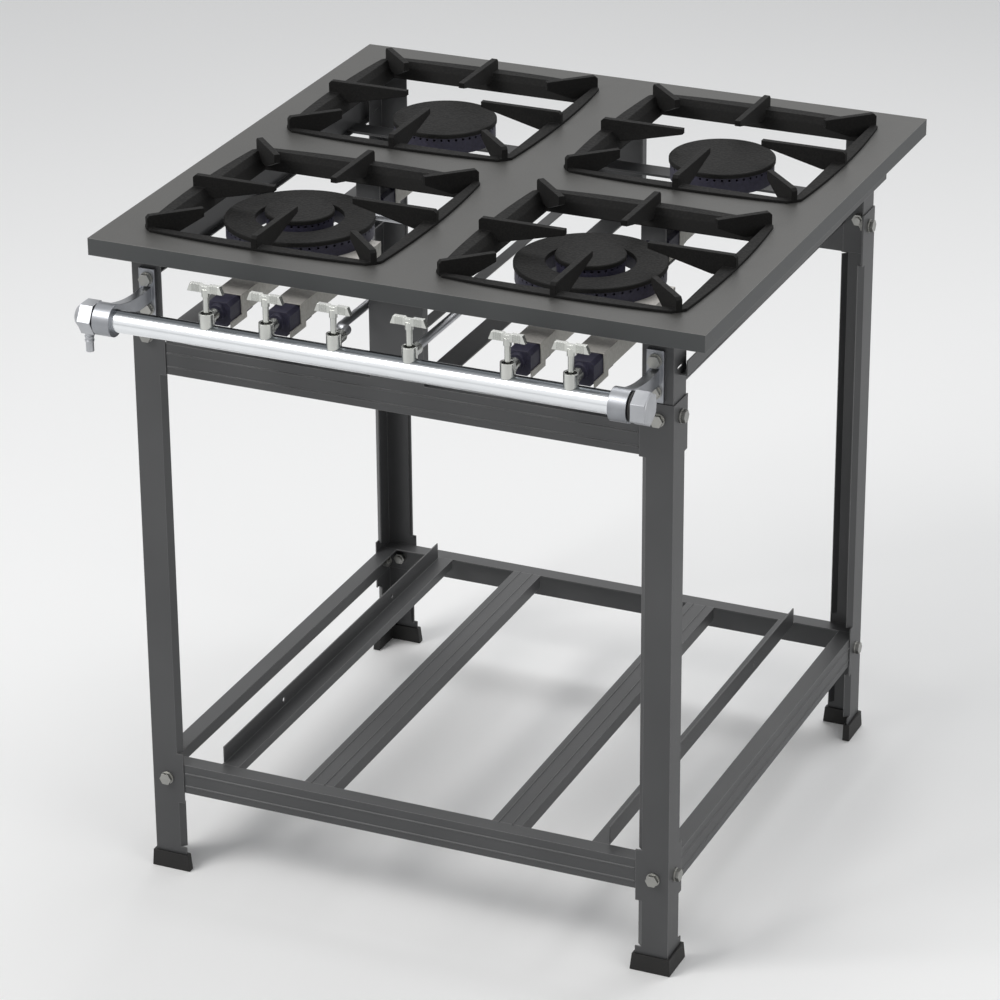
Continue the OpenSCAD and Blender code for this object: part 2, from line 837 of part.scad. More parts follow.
module grate(x, y) {
  inner = wall_low - wall_t;
  color(iron) home() translate([x, y, top_z]) {
    difference() {
      union() {
        linear_extrude(rim_t) bowed_square(grate_half);
        leaning_square([[wall_low, -wall_drop], [wall_half, 0], [wall_half, rim_t / 2]]);
      }
      leaning_square([[inner, -wall_drop - over], [wall_half - flare_in, -flare_drop],
        [wall_half + over, rim_t + over]]);
    }
    for (a = [0:90:270]) rotate([0, 0, a]) {
      finger(rim_mid, tip_share * grate_half, tip_t, inner, wall_low + over, wall_half - over);
      rotate([0, 0, 45]) finger(corner_end_share * grate_half, corner_tip_share * grate_half, corner_tip_t,
        (inner - finger_web) * sqrt(2), wall_low * sqrt(2), (wall_half - 2 * over) * sqrt(2));
    }
  }
}

// Gas rail, drilled for the valves
rail_from = collar_left - collar_l / 2 - seal_t - cap_grip;
rail_to = collar_right + collar_l / 2 + end_seal_t + end_hex_l - end_wall;
valve_hole_r = 4;

module gas_rail() {
  r = rail_d / 2;
  color(alloy) home() difference() {
    bar_x([rail_from, rail_y, rail_z], r, rail_to - rail_from);
    bar_x([rail_from - over, rail_y, rail_z], r - rail_wall, rail_to - rail_from + 2 * over);
    for (x = valve_x) translate([x, rail_y, rail_z]) cylinder(r = valve_hole_r, h = rail_d);
  }
}

// Cast bracket: bolted plate, curved arm and collar round the gas rail
module bracket(x) {
  post_face = frame_front + angle_t;
  plate_front = post_face - bracket_t;
  arm_high = [plate_front, bracket_low + bracket_bolt_high - arm_clear];
  arm_end = [rail_y, rail_z + collar_d / 2];
  arm_run = arm_high - arm_end;
  arm_r = (arm_run * arm_run / 4 + arm_sag * arm_sag) / (2 * arm_sag);
  arm_up = [-arm_run[1], arm_run[0]] / norm(arm_run);
  color(alloy) home() difference() {
    union() {
      block([x - bracket_w / 2, plate_front, bracket_low],
        [x + bracket_w / 2, post_face, bracket_low + bracket_h]);
      bar_x([x - collar_l / 2, rail_y, rail_z], collar_d / 2, collar_l);
      translate([x - arm_t / 2, 0, 0]) rotate([90, 0, 90]) linear_extrude(arm_t) difference() {
        polygon([
          arm_high, [plate_front, bracket_low + bracket_bolt_low + arm_clear],
          [rail_y, rail_z - arm_root_share * collar_d], arm_end
        ]);
        translate(arm_high / 2 + arm_end / 2 + arm_up * (arm_r - arm_sag)) circle(r = arm_r, $fn = 360);
        translate([(plate_front + rail_y) / 2, rail_z - bracket_h * arm_arc_share])
          circle(r = bracket_h * arm_arc_share - arm_waist);
      }
    }
    bar_x([x - collar_l / 2 - over, rail_y, rail_z], rail_d / 2 + run_fit, collar_l + 2 * over);
    for (up = [bracket_bolt_low, bracket_bolt_high])
      bar_y([x, plate_front - over, bracket_low + up], bolt_hole_r, bracket_t + 2 * over);
  }
}

// End fittings: sealing ring, hexagon and nose; the left one carries the hose tail
point_up = 30;

module hex_x(at, l, turn) {
  translate(at) rotate([0, 90, 0]) rotate([0, 0, turn]) cylinder(r = hex_r, h = l, $fn = 6);
}

module end_cap() {
  x = collar_right + collar_l / 2;
  color(alloy) home() difference() {
    union() {
      bar_x([x, rail_y, rail_z], seal_r, end_seal_t + over);
      hex_x([x + end_seal_t, rail_y, rail_z], end_hex_l, 0);
      translate([x + end_seal_t + end_hex_l, rail_y, rail_z]) rotate([0, 90, 0])
        cylinder(r1 = hex_af / 2 - gap, r2 = end_cone_r, h = end_cone_l);
    }
    bar_x([x - over, rail_y, rail_z], rail_d / 2 + cap_bore_gap, rail_to + gap - x + over);
  }
}

tail_x = collar_left - collar_l / 2 - seal_t - cap_left_l / 2 - cap_dome_l / 2;

module inlet_cap() {
  x = collar_left - collar_l / 2;
  tail_top = rail_z - hex_af / 2;
  low = tail_top - tail_len;
  color(alloy) home() difference() {
    union() {
      bar_x([x - seal_t - over, rail_y, rail_z], seal_r, seal_t + over);
      hex_x([x - seal_t - cap_left_l, rail_y, rail_z], cap_left_l, point_up);
      translate([x - seal_t - cap_left_l, rail_y, rail_z]) rotate([0, -90, 0])
        cylinder(r1 = hex_af / 2 - gap, r2 = cap_dome_r, h = cap_dome_l);
      translate([tail_x, rail_y, low]) cylinder(r = hose_tail_d / 2, h = rail_z - chamber_r - low);
      for (i = [0:barb_count - 1]) translate([tail_x, rail_y, low + tail_tip + i * barb_h])
        cylinder(r1 = hose_tail_d / 2 - barb_root, r2 = hose_tail_d / 2 + barb_r, h = barb_h);
    }
    bar_x([rail_from - gap, rail_y, rail_z], rail_d / 2 + cap_bore_gap, x + over - rail_from + gap);
    translate([tail_x, rail_y, low - over]) cylinder(r = tail_bore_r, h = rail_z - low + over);
    bar_x([tail_x - tail_bore_r - chamber_in, rail_y, rail_z], chamber_r,
      rail_from - tail_x + tail_bore_r + chamber_in);
  }
}

// Valve bodies: cup, bore for the stem, shank into the rail, outlet and brass jet
module valve_body(x, jet) {
  cup_floor = body_top - cup_depth;
  translate([x, rail_y, 0]) difference() {
    union() {
      translate([0, 0, rail_z]) cylinder(r = body_r, h = body_top - rail_z);
      bar_y([0, 0, outlet_z], outlet_r, outlet_len);
      if (jet > 0) bar_y([0, outlet_len - over, outlet_z], jet_r, jet + over);
    }
    bar_x([-body_r - over, 0, rail_z], rail_d / 2 + run_fit, 2 * body_r + 2 * over);
    translate([0, 0, cup_floor]) cylinder(r = cup_r, h = cup_depth + over);
    translate([0, 0, cup_floor - stem_seat]) cylinder(r = stem_r + run_fit, h = stem_seat + over);
  }
}

front_jet = block_front - neck_len / 2 - rail_y - outlet_len;

module valve_bodies() {
  color(nickel) home() for (i = [0:5]) valve_body(valve_x[i], i == 2 || i == 3 ? 0 : front_jet);
}

// Pipe from a middle valve to a rear burner: two sideways shifts, with a jet in the burner's neck
module feed_pipe(vx, bx, lane, turn_y) {
  start = rail_y + outlet_len;
  dx = abs(bx - vx);
  jet_l = rear_block_front - neck_len / 2 - rear_jet_y;
  cross_y = feed_cross_y - feed_bend_r;
  translate([vx, 0, outlet_z]) mirror([bx < vx ? 1 : 0, 0, 0]) {
    bar_y([0, start, 0], feed_r, turn_y - start);
    feed_shift(0, turn_y, lane);
    bar_y([lane, turn_y + 2 * shift_r(lane), 0], feed_r, cross_y - turn_y - 2 * shift_r(lane));
    feed_shift(lane, cross_y, dx - lane);
    bar_y([dx, feed_cross_y + feed_bend_r, 0], feed_r, rear_jet_y - feed_cross_y - feed_bend_r);
    bar_y([dx, rear_jet_y, 0], jet_r, jet_l);
  }
}

// Radius of the two bends that move a pipe sideways
function shift_r(dx) = min(feed_bend_r, dx / 2);

module feed_shift(x, y, dx) {
  r = shift_r(dx);
  translate([x + r, y, 0]) rotate([0, 0, 90]) feed_bend(r);
  if (dx > 2 * r) bar_x([x + r, y + r, 0], feed_r, dx - 2 * r);
  translate([x + dx - r, y + 2 * r, 0]) rotate([0, 0, -90]) feed_bend(r);
}

module feed_bend(r) {
  rotate_extrude(angle = 90) translate([r, 0]) circle(r = feed_r);
}

module feed_pipes() {
  color(alloy) home() {
    feed_pipe(valve_x[2], left_x, feed_jog, rail_y + outlet_len + feed_bend_r);
    feed_pipe(valve_x[3], right_x, feed_lane, feed_turn_y);
  }
}

// Wing handle on its stem
module handle(x) {
  half = handle_w / 2;
  low = handle_top - handle_h;
  stem_low = body_top - cup_depth - stem_seat + gap;
  dip = handle_h - handle_dip;
  color(nickel) home() translate([x, rail_y, 0]) {
    difference() {
      translate([0, handle_t / 2, low]) rotate([90, 0, 0]) linear_extrude(handle_t) polygon([
        [-half, 0], [-half + wing_foot, handle_h], [-wing_top_in, handle_h], [-stem_top_r, dip],
        [stem_top_r, dip], [wing_top_in, handle_h], [half - wing_foot, handle_h], [half, 0]
      ]);
      for (s = [-1, 1]) for (in = [1:wing_groove_count]) for (y = [-handle_t / 2, handle_t / 2])
        translate([s * (wing_top_in + in * wing_groove_step), y, low - over])
          cylinder(r = wing_groove_r, h = handle_h + 2 * over);
    }
    translate([0, 0, low - handle_hub_h]) cylinder(r = handle_hub_r, h = handle_hub_h + dip / 2);
    translate([0, 0, stem_low]) cylinder(r = stem_r, h = low - stem_low);
    translate([0, 0, body_top]) cylinder(r = stem_top_r, h = low - body_top);
  }
}

// Bolts of the frame and the brackets, drawn along +Y with the head in front of the face
module bolt(grip) {
  rotate([90, 0, 0]) {
    cylinder(r = washer_r, h = washer_t);
    translate([0, 0, washer_t]) cylinder(r = bolt_head_r, h = bolt_head_h, $fn = 6);
    translate([0, 0, -grip - nut_h - bolt_end]) cylinder(r = bolt_r, h = grip + nut_h + bolt_end + washer_t);
    translate([0, 0, -grip - nut_h]) cylinder(r = bolt_head_r, h = nut_h, $fn = 6);
  }
}

module leg_bolts(z) {
  translate([front_bolt_in, 0, z]) bolt(2 * angle_t);
  translate([0, side_bolt_in, z]) rotate([0, 0, -90]) bolt(2 * angle_t);
}

module bolts() {
  color(zinc) home() {
    for (right = [false, true]) for (rear = [false, true]) for (z = [lower_bolt_z, upper_bolt_z])
      at_corner(right, rear) leg_bolts(z);
    for (x = [collar_left, collar_right]) for (up = [bracket_bolt_low, bracket_bolt_high])
      translate([x, frame_front + angle_t - bracket_t, bracket_low + up]) bolt(bracket_t + angle_t);
  }
}

table_top();
side_panel(false);  // side_panel_left
side_panel(true);  // side_panel_right
post(false, false);  // post_front_left
post(true, false);  // post_front_right
post(false, true);  // post_rear_left
post(true, true);  // post_rear_right
upper_rail(false);  // upper_rail_front
upper_rail(true);  // upper_rail_rear
leg(false, false);  // leg_front_left
leg(true, false);  // leg_front_right
leg(false, true);  // leg_rear_left
leg(true, true);  // leg_rear_right
foot(false, false);  // foot_front_left
foot(true, false);  // foot_front_right
foot(false, true);  // foot_rear_left
foot(true, true);  // foot_rear_right
shelf_rail_long(false);  // shelf_rail_front
shelf_rail_long(true);  // shelf_rail_rear
shelf_rail_side(false);  // shelf_rail_left
shelf_rail_side(true);  // shelf_rail_right
edge_slat(false);  // slat_1
broad_slat(frame_left + slat_in);  // slat_2
broad_slat(frame_right - slat_in - slat_w);  // slat_3
edge_slat(true);  // slat_4
hanger(left_x, burner_left_x);  // hanger_left
hanger(right_x, burner_right_x);  // hanger_right
under_bars();
cover_front(burner_left_x);  // cover_front_left
cover_front(burner_right_x);  // cover_front_right
cover_rear(left_x);  // cover_rear_left
cover_rear(right_x);  // cover_rear_right
burner_front(burner_left_x);  // burner_front_left
burner_front(burner_right_x);  // burner_front_right
burner_rear(left_x);  // burner_rear_left
burner_rear(right_x);  // burner_rear_right
ring_cap(burner_left_x);  // ring_cap_left
ring_cap(burner_right_x);  // ring_cap_right
round_cap(burner_left_x, front_y, inner_r, inner_under);  // inner_cap_left
round_cap(burner_right_x, front_y, inner_r, inner_under);  // inner_cap_right
round_cap(left_x, rear_y, rear_r, rear_under);  // rear_cap_left
round_cap(right_x, rear_y, rear_r, rear_under);  // rear_cap_right
grate(left_x, front_y);  // grate_front_left
grate(right_x, front_y);  // grate_front_right
grate(left_x, rear_y);  // grate_rear_left
grate(right_x, rear_y);  // grate_rear_right
gas_rail();
bracket(collar_left);  // bracket_left
bracket(collar_right);  // bracket_right
inlet_cap();
end_cap();
valve_bodies();
feed_pipes();
handle(valve_x[0]);  // handle_1
handle(valve_x[1]);  // handle_2
handle(valve_x[2]);  // handle_3
handle(valve_x[3]);  // handle_4
handle(valve_x[4]);  // handle_5
handle(valve_x[5]);  // handle_6
bolts();
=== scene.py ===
import json
import math

import bmesh
import bpy
from mathutils import Matrix, Vector


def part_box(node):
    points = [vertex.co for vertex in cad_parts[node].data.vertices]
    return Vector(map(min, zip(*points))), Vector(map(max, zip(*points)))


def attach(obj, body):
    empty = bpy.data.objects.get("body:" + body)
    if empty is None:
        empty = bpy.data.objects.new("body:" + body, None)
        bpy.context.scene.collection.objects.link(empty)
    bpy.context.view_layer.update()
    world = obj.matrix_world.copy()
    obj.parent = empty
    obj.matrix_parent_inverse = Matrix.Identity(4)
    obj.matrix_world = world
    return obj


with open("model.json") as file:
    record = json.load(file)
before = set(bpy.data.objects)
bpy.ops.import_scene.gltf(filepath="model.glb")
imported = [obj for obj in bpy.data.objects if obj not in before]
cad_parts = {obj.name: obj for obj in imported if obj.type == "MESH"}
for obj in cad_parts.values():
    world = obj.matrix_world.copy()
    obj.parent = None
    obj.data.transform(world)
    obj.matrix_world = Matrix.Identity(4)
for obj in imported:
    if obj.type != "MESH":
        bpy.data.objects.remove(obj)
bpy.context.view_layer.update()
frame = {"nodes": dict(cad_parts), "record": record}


NODES = frame["nodes"]
ROOT = "stove_frame"

# Sockets of the Mix node that share one name, by place: two colours, or two values
COLOR_A, COLOR_B, COLOR_OUT = 6, 7, 2
VALUE_A, VALUE_B, VALUE_OUT = 2, 3, 0
BEVEL_SAMPLES = 6


# Node helpers
def new_material(name):
    mat = bpy.data.materials.new(name)
    mat.use_nodes = True
    nt = mat.node_tree
    nt.nodes.clear()
    out = nt.nodes.new("ShaderNodeOutputMaterial")
    bsdf = nt.nodes.new("ShaderNodeBsdfPrincipled")
    nt.links.new(bsdf.outputs["BSDF"], out.inputs["Surface"])
    return mat, nt, bsdf


def coords(nt, scale=(1, 1, 1)):
    tc = nt.nodes.new("ShaderNodeTexCoord")
    mp = nt.nodes.new("ShaderNodeMapping")
    mp.inputs["Scale"].default_value = scale
    nt.links.new(tc.outputs["Object"], mp.inputs["Vector"])
    return mp.outputs["Vector"]


def noise(nt, vec, scale, detail, rough=0.5):
    n = nt.nodes.new("ShaderNodeTexNoise")
    n.inputs["Scale"].default_value = scale
    n.inputs["Detail"].default_value = detail
    n.inputs["Roughness"].default_value = rough
    nt.links.new(vec, n.inputs["Vector"])
    return n.outputs["Fac"]


def cells(nt, vec, scale):
    vor = nt.nodes.new("ShaderNodeTexVoronoi")
    vor.inputs["Scale"].default_value = scale
    nt.links.new(vec, vor.inputs["Vector"])
    return vor


def ramp(nt, fac, first, last, start=0.3, end=0.7):
    """Colour that runs from first to last between two values of fac."""
    r = nt.nodes.new("ShaderNodeValToRGB")
    els = r.color_ramp.elements
    els[0].position, els[0].color = start, (*first, 1)
    els[1].position, els[1].color = end, (*last, 1)
    nt.links.new(fac, r.inputs["Fac"])
    return r.outputs["Color"]


def map_range(nt, value, from_min=0.0, from_max=1.0, to_min=0.0, to_max=1.0):
    m = nt.nodes.new("ShaderNodeMapRange")
    m.inputs["From Min"].default_value = from_min
    m.inputs["From Max"].default_value = from_max
    m.inputs["To Min"].default_value = to_min
    m.inputs["To Max"].default_value = to_max
    nt.links.new(value, m.inputs["Value"])
    return m.outputs["Result"]


def span(nt, fac, low, high):
    return map_range(nt, fac, to_min=low, to_max=high)


def mixer(nt, kind, fac):
    mix = nt.nodes.new("ShaderNodeMix")
    mix.data_type = kind
    nt.links.new(fac, mix.inputs["Factor"])
    return mix


def blend(nt, fac, a, b):
    mix = mixer(nt, "RGBA", fac)
    nt.links.new(a, mix.inputs[COLOR_A])
    nt.links.new(b, mix.inputs[COLOR_B])
    return mix.outputs[COLOR_OUT]


def rounded_normal(nt, radius):
    bev = nt.nodes.new("ShaderNodeBevel")
    bev.samples = BEVEL_SAMPLES
    bev.inputs["Radius"].default_value = radius
    return bev.outputs["Normal"]


def bump(nt, bsdf, height, strength, distance, edge=0.0006):
    """Bump on top of a rounded shading edge, so that folded and cast edges catch the light."""
    b = nt.nodes.new("ShaderNodeBump")
    b.inputs["Strength"].default_value = strength
    b.inputs["Distance"].default_value = distance
    nt.links.new(height, b.inputs["Height"])
    nt.links.new(rounded_normal(nt, edge), b.inputs["Normal"])
    nt.links.new(b.outputs["Normal"], bsdf.inputs["Normal"])


def edge_tone(nt, base, light, amount, edge=0.0012):
    """Painted highlight: lighter paint along sharp edges, from the difference between the rounded and
    the true normal.
    """
    geo = nt.nodes.new("ShaderNodeNewGeometry")
    dot = nt.nodes.new("ShaderNodeVectorMath")
    dot.operation = "DOT_PRODUCT"
    nt.links.new(rounded_normal(nt, edge), dot.inputs[0])
    nt.links.new(geo.outputs["Normal"], dot.inputs[1])
    # Painted highlight: how strongly the sharp edges are lightened
    painted_edge_highlight = map_range(nt, dot.outputs["Value"], from_min=0.995, from_max=0.85, to_max=amount)
    mix = mixer(nt, "RGBA", painted_edge_highlight)
    nt.links.new(base, mix.inputs[COLOR_A])
    mix.inputs[COLOR_B].default_value = (*light, 1)
    return mix.outputs[COLOR_OUT]


def facing_up(nt, low=0.35, high=0.85):
    """1 on faces that look up, 0 on upright ones."""
    geo = nt.nodes.new("ShaderNodeNewGeometry")
    sep = nt.nodes.new("ShaderNodeSeparateXYZ")
    nt.links.new(geo.outputs["Normal"], sep.inputs["Vector"])
    return map_range(nt, sep.outputs["Z"], from_min=low, from_max=high)


def tinted(color, tint):
    return tuple(c * t for c, t in zip(color, tint))


# Materials: low and high are the darker and lighter tone that a noise mixes
def paint(name, low, high, rough, edge_highlight_color, side=(1, 1, 1)):
    """Satin paint; side tints its upright faces as painted light."""
    mat, nt, bsdf = new_material(name)
    v = coords(nt)
    cloud = noise(nt, v, scale=7.0, detail=5.0)
    grain = noise(nt, v, scale=900.0, detail=3.0)
    flat = ramp(nt, cloud, low, high)
    # Painted light: the upright faces get a side-tinted copy of the paint
    upright = ramp(nt, cloud, tinted(low, side), tinted(high, side))
    base = blend(nt, facing_up(nt), upright, flat)
    # Painted highlight: lighter paint along the sharp edges
    nt.links.new(edge_tone(nt, base, edge_highlight_color, amount=0.55), bsdf.inputs["Base Color"])
    nt.links.new(span(nt, grain, *rough), bsdf.inputs["Roughness"])
    bsdf.inputs["Metallic"].default_value = 0.25
    bump(nt, bsdf, grain, strength=0.12, distance=0.0004)
    return mat


def cast(name, low, high, rough, strength, scale, specular=0.5):
    """Dull surface with fine pits: moulded plastic, rubber, enamelled castings."""
    mat, nt, bsdf = new_material(name)
    pits = noise(nt, coords(nt), scale=scale, detail=6.0, rough=0.65)
    nt.links.new(ramp(nt, pits, low, high, start=0.35), bsdf.inputs["Base Color"])
    nt.links.new(span(nt, pits, *rough), bsdf.inputs["Roughness"])
    bsdf.inputs["Specular IOR Level"].default_value = specular
    bump(nt, bsdf, pits, strength=strength, distance=0.0008, edge=0.001)
    return mat


def pebbled(name, low, high, rough):
    """Sand-cast iron: coarse pebbles on the faces that look up, finer pits on the walls."""
    mat, nt, bsdf = new_material(name)
    v = coords(nt)
    pits = noise(nt, v, scale=520.0, detail=6.0, rough=0.6)
    pebbles = cells(nt, v, scale=300.0).outputs["Distance"]
    up = facing_up(nt)
    height = mixer(nt, "FLOAT", up)
    nt.links.new(pits, height.inputs[VALUE_A])
    nt.links.new(pebbles, height.inputs[VALUE_B])
    wall = ramp(nt, pits, low, high, start=0.35)
    flat = ramp(nt, pebbles, high, low, start=0.1, end=0.75)
    nt.links.new(blend(nt, up, wall, flat), bsdf.inputs["Base Color"])
    nt.links.new(span(nt, pits, *rough), bsdf.inputs["Roughness"])
    bsdf.inputs["Specular IOR Level"].default_value = 0.17
    bump(nt, bsdf, height.outputs[VALUE_OUT], strength=0.4, distance=0.0007, edge=0.0014)
    return mat


def metal(name, low, high, rough, scale, stretch=(1, 1, 1), strength=0.08, edge=0.0006, upper_reflection=None):
    """Bare metal; a darker tone on the faces that look up is a painted reflection of the shaded table
    underside.
    """
    mat, nt, bsdf = new_material(name)
    fine = noise(nt, coords(nt, stretch), scale=scale, detail=5.0, rough=0.6)
    broad = noise(nt, coords(nt), scale=30.0, detail=3.0)
    base = ramp(nt, broad, low, high)
    # Painted reflection: the faces that look up get a darker tone, the shaded table underside mirrored
    # in them
    if upper_reflection:
        lighter = 1.15
        painted_reflection = ramp(nt, broad, upper_reflection, tuple(lighter * c for c in upper_reflection), start=0.2, end=0.8)
        base = blend(nt, facing_up(nt, low=0.56, high=0.92), base, painted_reflection)
    nt.links.new(base, bsdf.inputs["Base Color"])
    nt.links.new(span(nt, fine, *rough), bsdf.inputs["Roughness"])
    bsdf.inputs["Metallic"].default_value = 1.0
    bump(nt, bsdf, fine, strength=strength, distance=0.0003, edge=edge)
    return mat


def galvanised(name):
    """Zinc spangle with faint rolling lines; painted light makes the faces that look up lighter and
    the upright faces darker.
    """
    mat, nt, bsdf = new_material(name)
    sep = nt.nodes.new("ShaderNodeSeparateColor")
    nt.links.new(cells(nt, coords(nt), scale=330.0).outputs["Color"], sep.inputs["Color"])
    spangle = sep.outputs["Red"]
    lines = noise(nt, coords(nt, (1, 0.05, 1)), scale=700.0, detail=3.0)
    # Painted light: a lit tone for the faces that look up and a shaded tone for the upright faces
    top = ramp(nt, spangle, (0.50, 0.48, 0.45), (0.58, 0.56, 0.53), start=0.0, end=1.0)
    side = ramp(nt, spangle, (0.36, 0.35, 0.32), (0.43, 0.42, 0.39), start=0.0, end=1.0)
    nt.links.new(blend(nt, facing_up(nt), side, top), bsdf.inputs["Base Color"])
    nt.links.new(span(nt, lines, 0.42, 0.56), bsdf.inputs["Roughness"])
    bsdf.inputs["Metallic"].default_value = 0.45
    bump(nt, bsdf, lines, strength=0.06, distance=0.0002)
    return mat


# The pale edge colours in the paint entries are painted highlights.
MATS = {
    # top_sheet: the side tint is painted light, making the table's upright faces bluer and lighter
    # than its top
    "top_sheet": paint(
        "top_sheet", (0.050, 0.0495, 0.047), (0.058, 0.0575, 0.0545), rough=(0.42, 0.54),
        edge_highlight_color=(0.24, 0.24, 0.23), side=(1.03, 1.10, 1.18)),
    "frame_paint": paint(
        "frame_paint", (0.058, 0.059, 0.061), (0.072, 0.073, 0.075), rough=(0.38, 0.52),
        edge_highlight_color=(0.24, 0.24, 0.24)),
    "foot_plastic": cast(
        "foot_plastic", (0.012, 0.012, 0.012), (0.018, 0.017, 0.016), rough=(0.5, 0.66),
        strength=0.15, scale=500.0, specular=0.32),
    "galvanised": galvanised("galvanised"),
    "burner_enamel": cast(
        "burner_enamel", (0.014, 0.013, 0.026), (0.028, 0.026, 0.050), rough=(0.42, 0.64),
        strength=0.3, scale=260.0, specular=0.4),
    "cast_iron": pebbled(
        "cast_iron", (0.003, 0.003, 0.003), (0.011, 0.0105, 0.010), rough=(0.60, 0.84)),
    # rail_tube: its dark tone on the faces that look up is a painted reflection of the table's shaded
    # underside
    "rail_tube": metal(
        "rail_tube", (0.76, 0.78, 0.80), (0.80, 0.82, 0.84), rough=(0.16, 0.22),
        scale=260.0, stretch=(0.06, 1, 1), upper_reflection=(0.11, 0.12, 0.13)),
    "cast_alloy": metal(
        "cast_alloy", (0.38, 0.39, 0.41), (0.48, 0.49, 0.51), rough=(0.30, 0.44),
        scale=500.0, strength=0.16, edge=0.001),
    "valve_metal": metal(
        "valve_metal", (0.50, 0.51, 0.49), (0.60, 0.61, 0.58), rough=(0.20, 0.28),
        scale=900.0, strength=0.05),
    "zinc": metal(
        "zinc", (0.26, 0.26, 0.25), (0.36, 0.36, 0.34), rough=(0.26, 0.38),
        scale=900.0, strength=0.06, edge=0.0005),
}
# The gas rail's brackets are a duller casting than its end fittings
BRACKET = metal(
    "bracket_alloy", (0.25, 0.26, 0.28), (0.34, 0.35, 0.37), rough=(0.30, 0.44),
    scale=500.0, strength=0.16, edge=0.001)
RUBBER = cast(
    "seal_rubber", (0.008, 0.008, 0.008), (0.016, 0.016, 0.016), rough=(0.5, 0.7),
    strength=0.1, scale=900.0)

slots = {s["node"]: s["material_slot"] for s in frame["record"]["subparts"]}
for name, obj in NODES.items():
    obj.data.materials.clear()
    obj.data.materials.append(BRACKET if name.startswith("bracket_") else MATS[slots[name]])
    for poly in obj.data.polygons:
        poly.use_smooth = False


# Small pieces, in metres. A ring is a tube: ring_r is its mean radius, tube_r that of its section
HANDLE_COUNT = 6
CUP_RING_R, CUP_TUBE_R, CUP_RING_DOWN = 0.0051, 0.0011, 0.0052
SCREW_R, SCREW_RISE, SCREW_TIP_R, SCREW_DOWN = 0.0024, 0.0014, 0.0002, 0.0046
SCREW_STEPS = 6
SEAL_RING_R = 0.0146
SEAL_TUBE_R_LEFT, SEAL_TUBE_R_RIGHT = 0.0009, 0.0021


def piece(name, bm, mat, body):
    me = bpy.data.meshes.new(name)
    bmesh.ops.recalc_face_normals(bm, faces=bm.faces)
    bm.to_mesh(me)
    bm.free()
    for poly in me.polygons:
        poly.use_smooth = True
    me.materials.append(mat)
    obj = bpy.data.objects.new(name, me)
    bpy.context.scene.collection.objects.link(obj)
    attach(obj, body)


def lathe(bm, profile, matrix, segments, close=False):
    """Turns (radius, height) points about local Z."""
    rings = []
    for r, h in profile:
        rings.append([
            bm.verts.new(matrix @ Vector((r * math.cos(2 * math.pi * i / segments),
                                          r * math.sin(2 * math.pi * i / segments), h)))
            for i in range(segments)
        ])
    pairs = list(zip(rings, rings[1:]))
    if close:
        pairs.append((rings[-1], rings[0]))
    for a, b in pairs:
        for i in range(segments):
            j = (i + 1) % segments
            bm.faces.new((a[i], a[j], b[j], b[i]))


def ring_profile(ring_r, tube_r, steps=14):
    turns = [2 * math.pi * i / steps for i in range(steps)]
    return [(ring_r + tube_r * math.cos(t), tube_r * math.sin(t)) for t in turns]


def middle(node):
    low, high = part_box(node)
    return (low + high) / 2


handle_x = [middle(f"handle_{i}").x for i in range(1, HANDLE_COUNT + 1)]
valve_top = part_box("valve_bodies")[1].z
rail_mid = middle("gas_rail")

# Dark rings in the valve cups
for i, x in enumerate(handle_x, 1):
    bm = bmesh.new()
    place = Matrix.Translation((x, rail_mid.y, valve_top - CUP_RING_DOWN))
    lathe(bm, ring_profile(CUP_RING_R, CUP_TUBE_R), place, segments=40, close=True)
    piece(f"cup_ring_{i}", bm, RUBBER, ROOT)

# Small domed screws that hold the handles on their stems
dome = [(SCREW_R * math.cos(t), SCREW_RISE * math.sin(t))
        for t in [math.pi / 2 * k / SCREW_STEPS for k in range(SCREW_STEPS)]]
for i, x in enumerate(handle_x, 1):
    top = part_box(f"handle_{i}")[1].z
    bm = bmesh.new()
    place = Matrix.Translation((x, rail_mid.y, top - SCREW_DOWN))
    lathe(bm, dome + [(SCREW_TIP_R, SCREW_RISE)], place, segments=28)
    piece(f"handle_screw_{i}", bm, MATS["zinc"], f"handle_{i}_body")

# Dark sealing rings where the end fittings meet the bracket collars
seal_places = {
    "left": (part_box("inlet_cap")[1].x - SEAL_TUBE_R_LEFT, SEAL_TUBE_R_LEFT),
    "right": (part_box("end_cap")[0].x + SEAL_TUBE_R_RIGHT, SEAL_TUBE_R_RIGHT),
}
for side, (x, tube_r) in seal_places.items():
    bm = bmesh.new()
    along_rail = Matrix.Rotation(math.pi / 2, 4, "Y")
    place = Matrix.Translation((x, rail_mid.y, rail_mid.z)) @ along_rail
    lathe(bm, ring_profile(SEAL_RING_R, tube_r), place, segments=64, close=True)
    piece(f"seal_ring_{side}", bm, RUBBER, ROOT)

# Pale floor, just under the feet
FLOOR_SIDE, FLOOR_FRONT, FLOOR_BACK, FLOOR_Z = 6, -6, 8, -0.0005
bm = bmesh.new()
for x, y in ((-FLOOR_SIDE, FLOOR_FRONT), (FLOOR_SIDE, FLOOR_FRONT),
             (FLOOR_SIDE, FLOOR_BACK), (-FLOOR_SIDE, FLOOR_BACK)):
    bm.verts.new((x, y, FLOOR_Z))
bm.faces.new(bm.verts)
me = bpy.data.meshes.new("studio_floor")
bm.to_mesh(me)
bm.free()
floor = bpy.data.objects.new("studio_floor", me)
bpy.context.scene.collection.objects.link(floor)
mat, nt, bsdf = new_material("studio_floor")
patches = noise(nt, coords(nt), scale=0.7, detail=2.0)
nt.links.new(ramp(nt, patches, (0.90, 0.90, 0.90), (0.93, 0.93, 0.93), start=0.2, end=0.8),
             bsdf.inputs["Base Color"])
bsdf.inputs["Roughness"].default_value = 0.9
bsdf.inputs["Specular IOR Level"].default_value = 0.1
me.materials.append(mat)

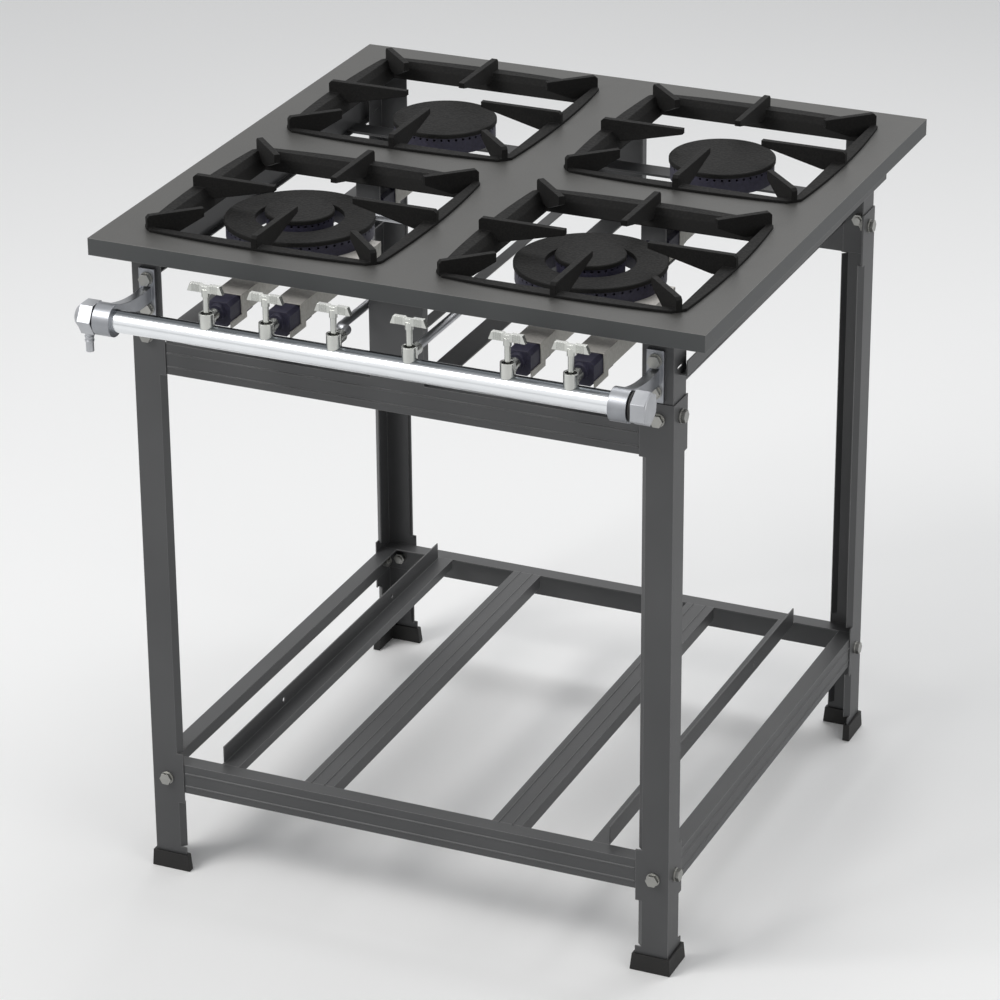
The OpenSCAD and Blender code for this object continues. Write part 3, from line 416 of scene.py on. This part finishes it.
# Surroundings: white where they are seen or mirrored, softer as a light
scene = bpy.context.scene
world = bpy.data.worlds.new("studio")
scene.world = world
world.use_nodes = True
nt = world.node_tree
nt.nodes.clear()


def background(color, strength):
    bg = nt.nodes.new("ShaderNodeBackground")
    bg.inputs["Color"].default_value = (*color, 1)
    bg.inputs["Strength"].default_value = strength
    return bg.outputs["Background"]


path = nt.nodes.new("ShaderNodeLightPath")
seen = path.outputs["Is Camera Ray"]
for ray in ("Is Glossy Ray", "Is Transmission Ray"):
    either = nt.nodes.new("ShaderNodeMath")
    either.operation = "MAXIMUM"
    nt.links.new(seen, either.inputs[0])
    nt.links.new(path.outputs[ray], either.inputs[1])
    seen = either.outputs["Value"]
out = nt.nodes.new("ShaderNodeOutputWorld")
mix = nt.nodes.new("ShaderNodeMixShader")
nt.links.new(seen, mix.inputs["Fac"])
nt.links.new(background((0.97, 0.985, 1.0), 0.46), mix.inputs[1])
nt.links.new(background((1, 1, 1), 1.0), mix.inputs[2])
nt.links.new(mix.outputs["Shader"], out.inputs["Surface"])


def area(name, place, target, size, power, color=(1, 1, 1)):
    data = bpy.data.lights.new(name, "AREA")
    data.shape = "RECTANGLE"
    data.size, data.size_y = size
    data.energy = power
    data.color = color
    obj = bpy.data.objects.new(name, data)
    scene.collection.objects.link(obj)
    obj.location = place
    obj.rotation_euler = (Vector(target) - Vector(place)).to_track_quat("-Z", "Y").to_euler()
    obj.visible_camera = False


area("key", (-1.9, -2.3, 3.3), target=(0, 0, 0.5), size=(1.8, 1.8), power=82, color=(1.0, 0.99, 0.975))
area("fill", (2.8, -1.2, 1.8), target=(0, 0, 0.5), size=(2.0, 2.4), power=14, color=(1.0, 0.98, 0.94))
area("top", (0.3, 1.6, 3.2), target=(0, 0, 0.7), size=(2.4, 1.6), power=38)

# Camera solved from the photo's straight edges, in a frame whose y = 0 is the table's front edge
YAW, PITCH, ROLL = 0.415224, 0.431120, -0.006989
FOCAL_PX, IMAGE_PX, SENSOR_MM = 4123.53, 1000.0, 36.0
CAMERA_X, CAMERA_Y, CAMERA_Z = 1.76640, -3.71101, 2.43976
FRONT_EDGE_TO_ORIGIN = 0.326685

forward = Vector((-math.sin(YAW) * math.cos(PITCH), math.cos(YAW) * math.cos(PITCH), -math.sin(PITCH)))
right = Vector((math.cos(YAW), math.sin(YAW), 0))
up = right.cross(forward)
cam_x = right * math.cos(ROLL) + up * math.sin(ROLL)
cam_y = -right * math.sin(ROLL) + up * math.cos(ROLL)
cam_data = bpy.data.cameras.new("photo_camera")
cam_data.sensor_width = SENSOR_MM
cam_data.lens = FOCAL_PX * SENSOR_MM / IMAGE_PX
cam = bpy.data.objects.new("photo_camera", cam_data)
scene.collection.objects.link(cam)
view = Matrix((cam_x, cam_y, -forward)).transposed().to_4x4()
view.translation = Vector((CAMERA_X, CAMERA_Y - FRONT_EDGE_TO_ORIGIN, CAMERA_Z))
cam.matrix_world = view
scene.camera = cam

scene.view_settings.view_transform = "Standard"
